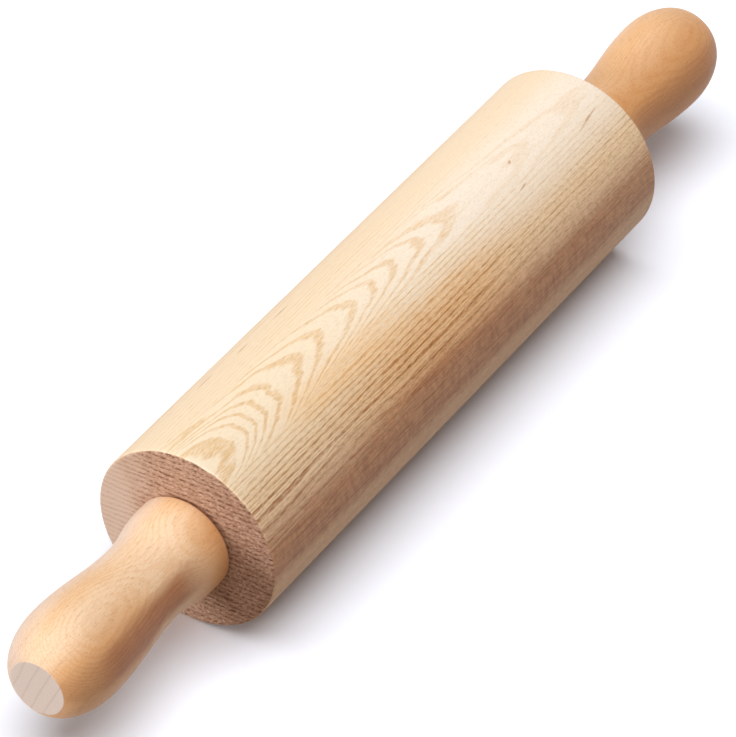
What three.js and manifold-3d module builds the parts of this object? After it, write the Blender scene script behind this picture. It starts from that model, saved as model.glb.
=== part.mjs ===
// A wooden rolling pin: a hardwood barrel that turns on two ball bearings, on a steel axle whose
// ends are glued into two turned handles.
// Millimetres, +Z up. The pin's axis lies along X, and the barrel stands on z = 0 at the origin.

import * as THREE from "three";
import { mergeVertices } from "three/addons/utils/BufferGeometryUtils.js";
import Module from "manifold-3d";

// Barrel
const BARREL_DIAMETER = 70; // across its flats
const BARREL_LENGTH = 250;
const BARREL_EDGE_RADIUS = 1.2;
const SEAT_CLEARANCE = 0.1; // between a bearing seat and the bearing's outer ring
const SEAT_SHOULDER = 2.5; // width of the step that the outer ring sits against
const BEARING_SETBACK = 1.5; // how far the bearing lies below the barrel's end face

// Handles, with places along a handle measured from its inner face
const HANDLE_GAP = 0.3; // running gap between the barrel's end and the handle's collar
const HANDLE_LENGTH = 84.7;
const COLLAR_DIAMETER = 36;
const COLLAR_EDGE_RADIUS = 1.8;
const COLLAR_LAND = 3.5; // straight stretch of the collar's rim
const NECK_DIAMETER = 31.2;
const NECK_PLACE = 25.7;
const BULB_DIAMETER = 37.6;
const BULB_PLACE = 64.1;
const END_DIAMETER = 20.4; // the flat sawn end
const GLUE_LINE = 0.06; // between the axle and a handle's bore
const BORE_SPARE = 2; // depth of the bore past the axle's end
const DRILL_TIP = 2.3; // length of the cone that the drill leaves

// Fullness of the handle's curves, as shares of the way from one of its places to the next
const NOSE_END_PULL = 0.12;
const NOSE_BULB_PULL = 0.6;
const NOSE_SHOULDER = 0.66;
const WAIST_BULB_PULL = 0.4;
const WAIST_NECK_PULL = 0.65;
const COVE_NECK_PULL = 0.49;
const COVE_COLLAR_PULL = 0.5;

// Axle
const AXLE_DIAMETER = 8;
const AXLE_GRIP = 55; // how far the axle reaches into a handle
const AXLE_CHAMFER = 0.8;
const FACE_GAP = 0.05; // between faces that are stacked along the axle

// Ball bearings: these walls add up to a ring 22 across and 7 wide on the 8 mm axle
const RING_FIT = 0.03; // between the axle and what is pushed onto it
const BALL_DIAMETER = 3.97;
const BALL_COUNT = 7;
const RACE_WALL = 1.38; // least wall of a ring, at the bottom of its ball groove
const RACE_CLEARANCE = 0.12; // between a ball and the bottom of a groove
const RACE_DEPTH = 0.55;
const RING_CHAMFER = 0.3;
const POCKET_CLEARANCE = 0.15; // between a ball and its pocket in the cage
const CAGE_THICKNESS = 1.5; // along the radius
const CAGE_BACK_WALL = 0.4;
const CAGE_LIP = 1.2; // reach of the cage past the balls' middle, short of their radius so it snaps on
const SHIELD_GAP = 0.25; // between the cage and a shield, and between a shield and the inner ring
const SHIELD_THICKNESS = 0.35;
const SHIELD_SETBACK = 0.29; // from the bearing's side face to the shield
const SHIELD_LEDGE = 0.6; // depth of the step that holds a shield in the outer ring
const SHIELD_PLAY = 0.1;

// Retaining rings and spacers
const CLIP_THICKNESS = 0.8;
const CLIP_WIDTH = 1.7;
const CLIP_GROOVE_DEPTH = 0.2;
const CLIP_PLAY = 0.06;
const CLIP_OPENING = 0.9; // angle of the ring's gap, in radians
const EYELET_RADIUS = 1.25;
const EYELET_HOLE_RADIUS = 0.6;
const SPACER_WALL = 1.85;

// How finely round pieces are cut
const BARREL_SIDES = 64;
const HANDLE_SIDES = 36;
const RING_SIDES = 36;
const AXLE_SIDES = 24;
const POCKET_SIDES = 12;
const EYELET_SIDES = 10;
const BALL_SIDES = 10;
const BALL_RINGS = 6;
const SAME_POINT = 1e-4; // points of a profile nearer than this are one point

// Places and radii that follow
const barrelRadius = BARREL_DIAMETER / 2;
const axleRadius = AXLE_DIAMETER / 2;
const ballRadius = BALL_DIAMETER / 2;
const pushedRadius = axleRadius + RING_FIT;
const grooveRadius = ballRadius + RACE_CLEARANCE;
const pitchRadius = pushedRadius + RACE_WALL + grooveRadius;
const bearingRadius = pitchRadius + grooveRadius + RACE_WALL;
const innerLand = pitchRadius - grooveRadius + RACE_DEPTH;
const outerLand = pitchRadius + grooveRadius - RACE_DEPTH;
const ledgeRadius = outerLand + SHIELD_LEDGE;
const pocketRadius = acrossFlats(ballRadius + POCKET_CLEARANCE, POCKET_SIDES);
const cageBack = pocketRadius + CAGE_BACK_WALL;
const shieldFace = cageBack + SHIELD_GAP;
const bearingHalfWidth = shieldFace + SHIELD_THICKNESS + SHIELD_SETBACK;
const bearingMiddle = -BEARING_SETBACK - bearingHalfWidth;
const bearingBack = bearingMiddle - bearingHalfWidth;
const clipMiddle = bearingBack - FACE_GAP - CLIP_THICKNESS / 2;
const clipInnerRadius = axleRadius - CLIP_GROOVE_DEPTH + CLIP_PLAY;
const axleEnd = HANDLE_GAP + AXLE_GRIP;

const wasm = await Module();
wasm.setup();

// Radius to the corners of a many-sided round piece whose flats lie at the given radius.
function acrossFlats(radius, sides) {
  return radius / Math.cos(Math.PI / sides);
}

// A point of a profile: its place along the pin's axis and its radius.
function at(along, radius) {
  return new THREE.Vector2(along, radius);
}

// A round stretch of a profile about a centre.
function round(centre, radius, from, to, steps) {
  const clockwise = to < from;
  return new THREE.EllipseCurve(centre.x, centre.y, radius, radius, from, to, clockwise).getPoints(steps);
}

// A flowing stretch of a profile, pulled towards two points between its ends.
function flow(start, startPull, endPull, end, steps) {
  return new THREE.CubicBezierCurve(start, startPull, endPull, end).getPoints(steps);
}

// A profile and its mirror image in the pin's middle, from a right half that ends nearest the middle.
function bothEnds(rightHalf) {
  const leftHalf = rightHalf.map((point) => at(-point.x, point.y)).reverse();
  return [...rightHalf, ...leftHalf];
}

// A piece turned about the X axis, with one of its flats facing down. Its profile runs anticlockwise,
// with the axis below it and +X to the right.
function turned(profile, sides) {
  const kept = profile.filter((point, i) => i === 0 || point.distanceTo(profile[i - 1]) > SAME_POINT);
  const points = kept.map((point) => new THREE.Vector2(point.y, point.x)).reverse();
  const geometry = new THREE.LatheGeometry(points, sides);
  geometry.rotateZ(-Math.PI / 2);
  geometry.rotateX(Math.PI / sides);
  return geometry;
}

// A turned ring, whose profile closes on itself.
function turnedRing(profile, sides) {
  return turned([...profile, profile[0]], sides);
}

function solidOf(geometry) {
  const bare = geometry.clone();
  bare.deleteAttribute("normal");
  bare.deleteAttribute("uv");
  const merged = mergeVertices(bare);
  return new wasm.Manifold(new wasm.Mesh({
    numProp: 3,
    vertProperties: merged.attributes.position.array,
    triVerts: new Uint32Array(merged.index.array),
  }));
}

function geometryOf(solid) {
  const mesh = solid.getMesh();
  const geometry = new THREE.BufferGeometry();
  geometry.setAttribute("position", new THREE.BufferAttribute(mesh.vertProperties, 3));
  geometry.setIndex(new THREE.BufferAttribute(mesh.triVerts, 1));
  geometry.computeVertexNormals();
  return geometry;
}

function barrelGeometry() {
  const flats = acrossFlats(barrelRadius, BARREL_SIDES);
  const seat = acrossFlats(bearingRadius + SEAT_CLEARANCE, BARREL_SIDES);
  const bore = bearingRadius - SEAT_SHOULDER;
  const end = BARREL_LENGTH / 2;
  const seatFloor = end + bearingBack - FACE_GAP;
  const edge = at(end - BARREL_EDGE_RADIUS, flats - BARREL_EDGE_RADIUS);
  return turnedRing(bothEnds([
    at(seatFloor, bore),
    at(seatFloor, seat),
    at(end, seat),
    ...round(edge, BARREL_EDGE_RADIUS, 0, Math.PI / 2, 4),
  ]), BARREL_SIDES);
}

function axleGeometry() {
  const faceToMiddle = BARREL_LENGTH / 2;
  const groove = CLIP_THICKNESS / 2 + CLIP_PLAY;
  const clip = faceToMiddle + clipMiddle;
  const end = faceToMiddle + axleEnd;
  return turned(bothEnds([
    at(end, 0),
    at(end, axleRadius - AXLE_CHAMFER),
    at(end - AXLE_CHAMFER, axleRadius),
    at(clip + groove, axleRadius),
    at(clip + groove, axleRadius - CLIP_GROOVE_DEPTH),
    at(clip - groove, axleRadius - CLIP_GROOVE_DEPTH),
    at(clip - groove, axleRadius),
  ]), AXLE_SIDES);
}

// The handle's outline runs from its flat end over the swelling, the waist and the collar to the bore.
function handleGeometry() {
  const bore = axleRadius + GLUE_LINE;
  const boreEnd = axleEnd + BORE_SPARE;
  const collar = COLLAR_DIAMETER / 2;
  const rim = collar - COLLAR_EDGE_RADIUS;
  const innerEdge = at(HANDLE_GAP + COLLAR_EDGE_RADIUS, rim);
  const collarBack = at(innerEdge.x + COLLAR_LAND, collar);
  const neck = at(HANDLE_GAP + NECK_PLACE, NECK_DIAMETER / 2);
  const bulb = at(HANDLE_GAP + BULB_PLACE, BULB_DIAMETER / 2);
  const end = at(HANDLE_GAP + HANDLE_LENGTH, END_DIAMETER / 2);
  const shoulder = THREE.MathUtils.lerp(end.y, bulb.y, NOSE_SHOULDER);
  const pull = (from, to, share, radius) => at(THREE.MathUtils.lerp(from.x, to.x, share), radius);
  const nosePulls = [pull(end, bulb, NOSE_END_PULL, shoulder), pull(end, bulb, NOSE_BULB_PULL, bulb.y)];
  const waistPulls = [pull(bulb, neck, WAIST_BULB_PULL, bulb.y), pull(bulb, neck, WAIST_NECK_PULL, neck.y)];
  const covePulls = [
    pull(neck, collarBack, COVE_NECK_PULL, neck.y),
    pull(neck, collarBack, COVE_COLLAR_PULL, collar),
  ];
  return turned([
    at(end.x, 0),
    ...flow(end, ...nosePulls, bulb, 7),
    ...flow(bulb, ...waistPulls, neck, 6),
    ...flow(neck, ...covePulls, collarBack, 6),
    ...round(innerEdge, COLLAR_EDGE_RADIUS, Math.PI / 2, Math.PI, 3),
    at(HANDLE_GAP, bore),
    at(boreEnd, bore),
    at(boreEnd + DRILL_TIP, 0),
  ], HANDLE_SIDES);
}

function outerRingGeometry() {
  const half = bearingHalfWidth;
  const step = shieldFace - SHIELD_PLAY;
  const mouth = Math.acos((grooveRadius - RACE_DEPTH) / grooveRadius);
  const groove = round(at(0, pitchRadius), grooveRadius, Math.PI / 2 + mouth, Math.PI / 2 - mouth, 6);
  return turnedRing([
    at(-half + RING_CHAMFER, bearingRadius),
    at(-half, bearingRadius - RING_CHAMFER),
    at(-half, ledgeRadius),
    at(-step, ledgeRadius),
    at(-step, outerLand),
    ...groove,
    at(step, outerLand),
    at(step, ledgeRadius),
    at(half, ledgeRadius),
    at(half, bearingRadius - RING_CHAMFER),
    at(half - RING_CHAMFER, bearingRadius),
  ], RING_SIDES);
}

function innerRingGeometry() {
  const half = bearingHalfWidth;
  const mouth = Math.acos((grooveRadius - RACE_DEPTH) / grooveRadius);
  const groove = round(at(0, pitchRadius), grooveRadius, -Math.PI / 2 + mouth, -Math.PI / 2 - mouth, 6);
  return turnedRing([
    at(-half + RING_CHAMFER, pushedRadius),
    at(half - RING_CHAMFER, pushedRadius),
    at(half, pushedRadius + RING_CHAMFER),
    at(half, innerLand),
    ...groove,
    at(-half, innerLand),
    at(-half, pushedRadius + RING_CHAMFER),
  ], RING_SIDES);
}

function shieldGeometry() {
  const inner = innerLand + SHIELD_GAP;
  const outer = ledgeRadius - SHIELD_PLAY;
  return turnedRing([
    at(shieldFace, inner),
    at(shieldFace + SHIELD_THICKNESS, inner),
    at(shieldFace + SHIELD_THICKNESS, outer),
    at(shieldFace, outer),
  ], RING_SIDES);
}

// A crown: a ring with a pocket for each ball, open on one side so that it snaps over them.
function cageGeometry(ballAngles) {
  const inner = pitchRadius - CAGE_THICKNESS / 2;
  const outer = pitchRadius + CAGE_THICKNESS / 2;
  let crown = solidOf(turnedRing([
    at(-cageBack, inner),
    at(CAGE_LIP, inner),
    at(CAGE_LIP, outer),
    at(-cageBack, outer),
  ], RING_SIDES));
  for (const angle of ballAngles) {
    const pocket = new THREE.CylinderGeometry(pocketRadius, pocketRadius, 2 * CAGE_THICKNESS, POCKET_SIDES);
    pocket.translate(0, pitchRadius, 0);
    pocket.rotateX(angle);
    crown = crown.subtract(solidOf(pocket));
  }
  return geometryOf(crown);
}

// An open spring ring with an eyelet at each side of its gap.
function retainingRingGeometry() {
  const outer = clipInnerRadius + CLIP_WIDTH;
  const from = CLIP_OPENING / 2;
  const to = 2 * Math.PI - from;
  const outline = new THREE.Shape();
  outline.absarc(0, 0, outer, from, to, false);
  outline.absarc(0, 0, clipInnerRadius, to, from, true);
  outline.closePath();
  const plate = (shape, halfTurnSteps) => solidOf(new THREE.ExtrudeGeometry(shape, {
    depth: CLIP_THICKNESS,
    bevelEnabled: false,
    curveSegments: halfTurnSteps,
  }));
  const eyeletDisc = (angle, radius) => {
    const reach = clipInnerRadius + EYELET_RADIUS;
    const disc = new THREE.Shape();
    disc.absarc(reach * Math.cos(angle), reach * Math.sin(angle), radius, 0, 2 * Math.PI, false);
    return plate(disc, EYELET_SIDES / 2);
  };
  const eyeletTurn = from + EYELET_RADIUS / outer;
  let ring = plate(outline, AXLE_SIDES / 2);
  for (const angle of [eyeletTurn, -eyeletTurn]) {
    ring = ring.add(eyeletDisc(angle, EYELET_RADIUS)).subtract(eyeletDisc(angle, EYELET_HOLE_RADIUS));
  }
  const geometry = geometryOf(ring);
  geometry.translate(0, 0, -CLIP_THICKNESS / 2);
  geometry.rotateY(Math.PI / 2);
  return geometry;
}

function spacerGeometry() {
  const from = -BEARING_SETBACK + FACE_GAP;
  const to = HANDLE_GAP - FACE_GAP;
  const outer = pushedRadius + SPACER_WALL;
  return turnedRing([
    at(from, pushedRadius),
    at(to, pushedRadius),
    at(to, outer),
    at(from, outer),
  ], AXLE_SIDES);
}

const ash = () => new THREE.MeshStandardMaterial({ color: 0xe6c79c, roughness: 0.6, metalness: 0 });
const beech = () => new THREE.MeshStandardMaterial({ color: 0xc99a6c, roughness: 0.55, metalness: 0 });
const steel = () => new THREE.MeshStandardMaterial({ color: 0xb8babd, roughness: 0.35, metalness: 1 });
const polished = () => new THREE.MeshStandardMaterial({ color: 0xcfd2d6, roughness: 0.15, metalness: 1 });
const springSteel = () => new THREE.MeshStandardMaterial({ color: 0x4a4c50, roughness: 0.4, metalness: 1 });
const nylon = () => new THREE.MeshStandardMaterial({ color: 0xe8e2d2, roughness: 0.6, metalness: 0 });

function place(parent, name, geometry, material) {
  const mesh = new THREE.Mesh(geometry, material);
  mesh.name = name;
  parent.add(mesh);
  return mesh;
}

// A bearing in its own group, centred on the middle of its width.
function bearing(side) {
  const group = new THREE.Group();
  const angles = Array.from({ length: BALL_COUNT }, (_, i) => (2 * Math.PI * i) / BALL_COUNT);
  place(group, `${side}_bearing_outer_ring`, outerRingGeometry(), polished());
  place(group, `${side}_bearing_inner_ring`, innerRingGeometry(), polished());
  place(group, `${side}_cage`, cageGeometry(angles), nylon());
  place(group, `${side}_outer_shield`, shieldGeometry(), steel());
  const innerShield = place(group, `${side}_inner_shield`, shieldGeometry(), steel());
  innerShield.rotation.z = Math.PI;
  angles.forEach((angle, i) => {
    const sphere = new THREE.SphereGeometry(ballRadius, BALL_SIDES, BALL_RINGS);
    const ball = place(group, `${side}_ball_${i + 1}`, sphere, polished());
    ball.position.set(0, pitchRadius * Math.cos(angle), pitchRadius * Math.sin(angle));
  });
  return group;
}

// What sits at one end of the barrel, measured outwards from the middle of its end face.
function pinEnd(side) {
  const group = new THREE.Group();
  const race = bearing(side);
  race.position.x = bearingMiddle;
  group.add(race);
  const clip = place(group, `${side}_retaining_ring`, retainingRingGeometry(), springSteel());
  clip.position.x = clipMiddle;
  place(group, `${side}_spacer`, spacerGeometry(), steel());
  place(group, `${side}_handle`, handleGeometry(), beech());
  return group;
}

const rollingPin = new THREE.Group();
const axisLine = new THREE.Group();
axisLine.position.z = barrelRadius;
rollingPin.add(axisLine);

place(axisLine, "barrel", barrelGeometry(), ash());
place(axisLine, "axle_rod", axleGeometry(), steel());

const rightEnd = pinEnd("right");
rightEnd.position.x = BARREL_LENGTH / 2;
axisLine.add(rightEnd);

const leftEnd = pinEnd("left");
leftEnd.position.x = -BARREL_LENGTH / 2;
leftEnd.rotation.z = Math.PI;
axisLine.add(leftEnd);

export default rollingPin;
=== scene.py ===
# A wooden rolling pin: an ash barrel that turns on two ball bearings, on a steel axle whose ends are
# glued into two turned beech handles. Metres, +Z up, with the pin's axis along X.

import math
from typing import NamedTuple

import bmesh
import bpy
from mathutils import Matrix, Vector


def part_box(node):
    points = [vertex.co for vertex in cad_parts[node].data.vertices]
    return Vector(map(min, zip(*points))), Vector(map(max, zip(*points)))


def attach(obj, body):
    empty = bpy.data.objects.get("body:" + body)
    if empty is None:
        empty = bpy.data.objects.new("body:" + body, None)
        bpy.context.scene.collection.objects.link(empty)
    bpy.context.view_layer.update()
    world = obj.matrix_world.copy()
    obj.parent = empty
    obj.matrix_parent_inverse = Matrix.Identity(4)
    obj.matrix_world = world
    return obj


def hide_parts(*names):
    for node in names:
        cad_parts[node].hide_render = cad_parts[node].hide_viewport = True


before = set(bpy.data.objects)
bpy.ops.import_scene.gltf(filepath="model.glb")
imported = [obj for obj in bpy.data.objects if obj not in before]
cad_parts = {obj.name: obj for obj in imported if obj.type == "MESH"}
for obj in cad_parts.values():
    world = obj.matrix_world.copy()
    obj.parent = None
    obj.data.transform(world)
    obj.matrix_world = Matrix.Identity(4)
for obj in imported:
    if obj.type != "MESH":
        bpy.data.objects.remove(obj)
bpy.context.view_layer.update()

MM = 0.001
ENDS = (("left", -1), ("right", 1))

# The pin's main sizes, in millimetres, as the solids have them
BARREL_RADIUS = 35.0
BARREL_END = 125.0
BARREL_EDGE_RADIUS = 1.2
AXIS_HEIGHT = BARREL_RADIUS
HANDLE_GAP = 0.3
HANDLE_LENGTH = 84.7
HANDLE_END = BARREL_END + HANDLE_GAP + HANDLE_LENGTH
AXLE_RADIUS = 4.0
AXLE_GRIP = 55.0
AXLE_END = BARREL_END + HANDLE_GAP + AXLE_GRIP
AXLE_CHAMFER = 0.8
RING_FIT = 0.03
PUSHED_RADIUS = AXLE_RADIUS + RING_FIT
FACE_GAP = 0.05

# A handle's outline, as (place, radius) with places measured outwards from the barrel's end face
COLLAR_RADIUS = 18.0
COLLAR_EDGE_RADIUS = 1.8
COLLAR_LAND = 3.5
COLLAR_EDGE = (HANDLE_GAP + COLLAR_EDGE_RADIUS, COLLAR_RADIUS - COLLAR_EDGE_RADIUS)
COLLAR_BACK = (COLLAR_EDGE[0] + COLLAR_LAND, COLLAR_RADIUS)
NECK = (26.0, 15.6)
BULB = (64.4, 18.8)
FLAT_END = (HANDLE_GAP + HANDLE_LENGTH, 10.2)
GLUE_LINE = 0.06
BORE_SPARE = 2.0
DRILL_TIP = 2.3
AXLE_BORE_RADIUS = AXLE_RADIUS + GLUE_LINE
AXLE_BORE_END = HANDLE_GAP + AXLE_GRIP + BORE_SPARE

# Fullness of the handle's curves, as shares of the way from one of its places to the next
NOSE_END_PULL = 0.12
NOSE_BULB_PULL = 0.6
NOSE_SHOULDER = 0.66
WAIST_BULB_PULL = 0.4
WAIST_NECK_PULL = 0.65
COVE_NECK_PULL = 0.49
COVE_COLLAR_PULL = 0.5

# The rings and balls of a bearing
BALL_COUNT = 7
BALL_RADIUS = 1.985
RACE_WALL = 1.38
RACE_CLEARANCE = 0.12
RING_CHAMFER = 0.3
GROOVE_RADIUS = BALL_RADIUS + RACE_CLEARANCE
GROOVE_DEPTH = 0.55
PITCH_RADIUS = PUSHED_RADIUS + RACE_WALL + GROOVE_RADIUS
BEARING_RADIUS = PITCH_RADIUS + GROOVE_RADIUS + RACE_WALL
INNER_LAND = PITCH_RADIUS - GROOVE_RADIUS + GROOVE_DEPTH
OUTER_LAND = PITCH_RADIUS + GROOVE_RADIUS - GROOVE_DEPTH

# Its cage, with places measured from the balls' middle; the solid's pockets are many-sided
POCKET_RADIUS = 2.17
POCKET_CLEARANCE = 0.15
SOLID_POCKET_SIDES = 12
CAGE_BACK_WALL = 0.4
CAGE_BACK = -(BALL_RADIUS + POCKET_CLEARANCE) / math.cos(math.pi / SOLID_POCKET_SIDES) - CAGE_BACK_WALL
CAGE_LIP = 1.2
LIP_TURN = math.degrees(math.acos(CAGE_LIP / POCKET_RADIUS))
CAGE_THICKNESS = 1.5
CAGE_RADII = (PITCH_RADIUS - CAGE_THICKNESS / 2, PITCH_RADIUS + CAGE_THICKNESS / 2)

# Its two shields, each against a ledge in the outer ring
SHIELD_GAP = 0.25
SHIELD_THICKNESS = 0.35
SHIELD_SETBACK = 0.29
SHIELD_LEDGE = 0.6
SHIELD_PLAY = 0.1
SHIELD_CHAMFER = 0.08
SHIELD_FACES = (SHIELD_GAP - CAGE_BACK, SHIELD_GAP - CAGE_BACK + SHIELD_THICKNESS)
LEDGE_PLACE = SHIELD_FACES[0] - SHIELD_PLAY
LEDGE_RADIUS = OUTER_LAND + SHIELD_LEDGE
SHIELD_RADII = (INNER_LAND + SHIELD_GAP, LEDGE_RADIUS - SHIELD_PLAY)

# A bearing's place in the barrel, and its seat there
BEARING_HALF = SHIELD_FACES[1] + SHIELD_SETBACK
BEARING_SETBACK = 1.5
BEARING_PLACE = BARREL_END - BEARING_SETBACK - BEARING_HALF
BEARING_BACK = BEARING_PLACE - BEARING_HALF
SEAT_CLEARANCE = 0.1
SEAT_SHOULDER = 2.5
SEAT_RADIUS = BEARING_RADIUS + SEAT_CLEARANCE
SEAT_FLOOR = BEARING_BACK - FACE_GAP
THROUGH_BORE_RADIUS = BEARING_RADIUS - SEAT_SHOULDER

# The snap ring behind each bearing, in a groove of the axle, with its opening in degrees
SNAP_THICKNESS = 0.8
SNAP_WIDTH = 1.7
SNAP_PLAY = 0.06
SNAP_GROOVE_DEPTH = 0.2
SNAP_PLACE = BEARING_BACK - FACE_GAP - SNAP_THICKNESS / 2
SNAP_INNER = AXLE_RADIUS - SNAP_GROOVE_DEPTH + SNAP_PLAY
SNAP_OUTER = SNAP_INNER + SNAP_WIDTH
SNAP_OPENING = 51.57
EYELET_RADIUS = 1.25
EYELET_HOLE = 0.6

# The spacer between each bearing and its handle
SPACER_WALL = 1.85
SPACER_CHAMFER = 0.15
SPACER_ENDS = (BARREL_END - BEARING_SETBACK + FACE_GAP, BARREL_END + HANDLE_GAP - FACE_GAP)
SPACER_RADII = (PUSHED_RADIUS, PUSHED_RADIUS + SPACER_WALL)

# How finely the pieces are turned
BARREL_SIDES = 256
BARREL_RINGS = 50
HANDLE_SIDES = 160
CURVE_STEPS = 36
EDGE_STEPS = 10
HARDWARE_SIDES = 96
GROOVE_STEPS = 14
BALL_SIDES = 40
BALL_RINGS = 24
FINGER_ROWS = 16
FINGER_COLUMNS = 10
SHARP_ANGLE = math.radians(20)
SAME_POINT = 1e-4
ON_AXIS = 1e-6

# The photograph's view
CAMERA_PLACE = (-1.15183, -0.72193, 1.14394)
CAMERA_AIM = (-0.01811, -0.0033, 0.035)
SENSOR = 36.0
LENS = 247.72

# The studio: a broad lamp overhead, another low on the left that reaches the end grain, and a dim room.
# Spreads are in degrees
KEY_TOWARDS = (-0.1, -0.08, 0.985)
KEY_STRENGTH = 2.66
KEY_SPREAD = 62
END_TOWARDS = (-0.87, 0.43, 0.22)
END_STRENGTH = 1.68
END_SPREAD = 20
AMBIENT_TONE = (1.0, 0.93, 0.88, 1.0)
AMBIENT_STRENGTH = 0.1
WHITE = (1.0, 1.0, 1.0, 1.0)
FLOOR_TONE = (0.4, 0.34, 0.29, 1.0)
FLOOR_SHOWN = (1.1, 1.14, 1.24, 1.0)
FLOOR_REACH = 6.0

# How strongly wood and nylon bend light
WOOD_IOR = 1.45
NYLON_IOR = 1.52


def colour(red, green, blue):
    """A colour in linear light from its screen values, 0 to 255."""
    def linear(value):
        share = value / 255
        return share / 12.92 if share <= 0.04045 else ((share + 0.055) / 1.055) ** 2.4
    return (linear(red), linear(green), linear(blue), 1.0)


class Wire:
    """A node's socket, which takes part in plain arithmetic."""

    def __init__(self, finish, socket):
        self.finish = finish
        self.socket = socket

    def math(self, operation, *terms):
        return self.finish.node("ShaderNodeMath", {"operation": operation}, dict(enumerate(terms)))

    def __add__(self, other):
        return self.math("ADD", self, other)

    def __radd__(self, other):
        return self.math("ADD", other, self)

    def __sub__(self, other):
        return self.math("SUBTRACT", self, other)

    def __rsub__(self, other):
        return self.math("SUBTRACT", other, self)

    def __mul__(self, other):
        return self.math("MULTIPLY", self, other)

    def __rmul__(self, other):
        return self.math("MULTIPLY", other, self)

    def __truediv__(self, other):
        return self.math("DIVIDE", self, other)

    def __rtruediv__(self, other):
        return self.math("DIVIDE", other, self)

    def __pow__(self, other):
        return self.math("POWER", self, other)

    def __abs__(self):
        return self.math("ABSOLUTE", self)

    def sqrt(self):
        return self.math("SQRT", self)

    def fraction(self):
        return self.math("FRACT", self)

    def nearest(self):
        return self.math("ROUND", self)

    def greatest(self, other):
        return self.math("MAXIMUM", self, other)

    def least(self, other):
        return self.math("MINIMUM", self, other)

    def rise(self, low, high):
        """0 below low, 1 above high, and a smooth step between; low may be the larger."""
        settings = {"interpolation_type": "SMOOTHSTEP"}
        sockets = {"Value": self, "From Min": low, "From Max": high, "To Min": 0.0, "To Max": 1.0}
        return self.finish.node("ShaderNodeMapRange", settings, sockets)

    def band(self, start, full, fading, gone):
        """1 between full and fading, and 0 before start and after gone."""
        return self.rise(start, full) * self.rise(gone, fading)


class Grain(NamedTuple):
    """A kind of noise: grains to a millimetre along the pin and the two ways across it, how many finer
    grains are laid over it, and how strongly."""
    along: float
    across: float
    up: float
    finer: float = 2.0
    strength: float = 0.5


class Finish:
    """The nodes of a material, or of the world, in the making."""

    def __init__(self, owner):
        owner.use_nodes = True
        self.owner = owner
        self.tree = owner.node_tree
        self.tree.nodes.clear()

    def node(self, kind, settings=None, sockets=None, out=0):
        """A node with its settings, then its sockets' values or links; gives the outputs asked for."""
        made = self.tree.nodes.new(kind)
        for key, value in (settings or {}).items():
            if key == "stops":
                self.set_stops(made.color_ramp, value)
            else:
                setattr(made, key, value)
        for key, value in (sockets or {}).items():
            if isinstance(value, Wire):
                self.tree.links.new(value.socket, made.inputs[key])
            else:
                made.inputs[key].default_value = value
        if isinstance(out, tuple):
            return tuple(Wire(self, made.outputs[key]) for key in out)
        return Wire(self, made.outputs[out]) if made.outputs else None

    @staticmethod
    def set_stops(ramp, stops):
        while len(ramp.elements) < len(stops):
            ramp.elements.new(1.0)
        for element, (place, value) in zip(ramp.elements, stops):
            element.position = place
            element.color = (value, value, value, 1.0)

    def place(self):
        """Millimetres along the pin and across it, from the middle of its axis."""
        where = self.node("ShaderNodeTexCoord", out="Object")
        x, y, z = self.node("ShaderNodeSeparateXYZ", None, {0: where}, (0, 1, 2))
        return x / MM, y / MM, z / MM - AXIS_HEIGHT

    def point(self, x, y, z):
        return self.node("ShaderNodeCombineXYZ", None, {0: x, 1: y, 2: z})

    def noise(self, where, grain):
        """Smooth noise from 0 to 1 at a place in millimetres."""
        x, y, z = where
        scaled = self.point(x * grain.along, y * grain.across, z * grain.up)
        sockets = {"Vector": scaled, "Scale": 1.0, "Detail": grain.finer, "Roughness": grain.strength}
        return self.node("ShaderNodeTexNoise", {"noise_dimensions": "3D"}, sockets)

    def table(self, value, rows):
        """A value read from a short table of (place, height) rows, straight from row to row."""
        low = rows[0][0]
        span = rows[-1][0] - low
        top = max(height for place, height in rows)
        stops = [((place - low) / span, height / top) for place, height in rows]
        return self.node("ShaderNodeValToRGB", {"stops": stops}, {0: (value - low) / span}) * top

    def blend(self, share, first, second, kind="MIX"):
        """The first colour where share is 0, and the second where it is 1."""
        settings = {"data_type": "RGBA", "blend_type": kind}
        return self.node("ShaderNodeMix", settings, {0: share, 6: first, 7: second}, 2)

    def tint(self, share, base, cast):
        """The base colour where share is 0, and that colour times the cast where it is 1."""
        return self.blend(share, base, cast, "MULTIPLY")

    def bump(self, height, distance, strength):
        sockets = {"Height": height, "Distance": distance, "Strength": strength}
        return self.node("ShaderNodeBump", None, sockets)

    def surface(self, **sockets):
        """The material's surface, from a shader's sockets by name."""
        named = {key.replace("_", " ").title(): value for key, value in sockets.items()}
        named = {key.replace("Ior", "IOR"): value for key, value in named.items()}
        shader = self.node("ShaderNodeBsdfPrincipled", None, named)
        self.node("ShaderNodeOutputMaterial", None, {"Surface": shader})
        return self.owner

    def shown(self):
        """1 on rays that show the surroundings: straight to the camera, mirrored or through glass."""
        rays = ("Is Camera Ray", "Is Glossy Ray", "Is Transmission Ray")
        straight, mirrored, through = self.node("ShaderNodeLightPath", out=rays)
        return straight.greatest(mirrored).greatest(through)


# Ash: the barrel's crown shows nested arches, and its sides the edges of nearly level layers. Places are
# in millimetres: along the barrel from its near end, up from the axis square to the layers, and across
# towards the viewer's left. Up and across are taken at the surface straight out from a point, for points
# further than INNERMOST from the axis.
CROWN_LEAN = math.radians(6.6)
INNERMOST = 8.0

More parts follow.
